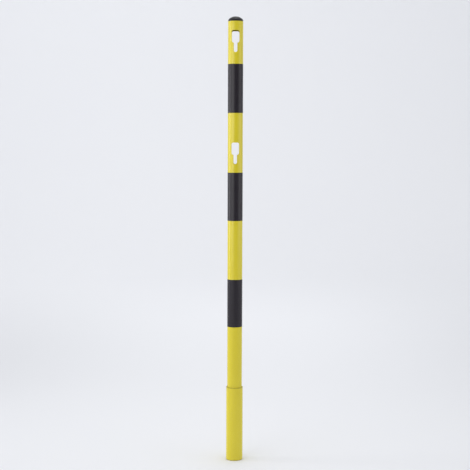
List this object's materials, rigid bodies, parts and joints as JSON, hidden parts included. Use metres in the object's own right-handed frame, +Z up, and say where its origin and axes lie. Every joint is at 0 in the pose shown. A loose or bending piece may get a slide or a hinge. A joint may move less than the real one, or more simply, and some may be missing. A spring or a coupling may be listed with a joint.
{
  "type": "removable bollard",
  "caption": "Slim round chain post with keyhole slots, dark bands and a domed cap, standing loose in a short tubular ground socket that it lifts out of.",
  "frame": {"origin": "centre of the socket's underside, on the axis of the post", "axes": "+Z up along the post; the keyhole slots run through along Y, with the front at -Y and the tape laps at +Y"},
  "size_m": [0.0381, 0.038, 1.011],
  "materials": {
    "yellow_powder_coat": "satin powder coat on steel tube",
    "black_tape": "satin vinyl tape",
    "cap_plastic": "moulded polyethylene, fine spark texture",
    "foot_plastic": "moulded polyethylene",
    "base_plug_plastic": "moulded polyethylene",
    "bush_nylon": "cut from black nylon strip",
    "pad_rubber": "moulded EPDM"
  },
  "bodies": {
    "socket": {"socket_tube": "yellow_powder_coat", "base_plug": "base_plug_plastic", "guide_bush": "bush_nylon"},
    "pad": {"landing_pad": "pad_rubber"},
    "post": {"post_tube": "yellow_powder_coat", "top_cap": "cap_plastic", "foot_plug": "foot_plastic", "upper_band": "black_tape", "middle_band": "black_tape", "lower_band": "black_tape"}
  },
  "joints": [
    {"name": "post_turn", "type": "hinge", "parent": "socket", "child": "pad", "pos_m": [0, 0, 0.007], "axis": [0, 0, 1], "continuous": true},
    {"name": "post_lift", "type": "slide", "parent": "pad", "child": "post", "axis": [0, 0, 1], "range_m": [0, 0.2]}
  ]
}
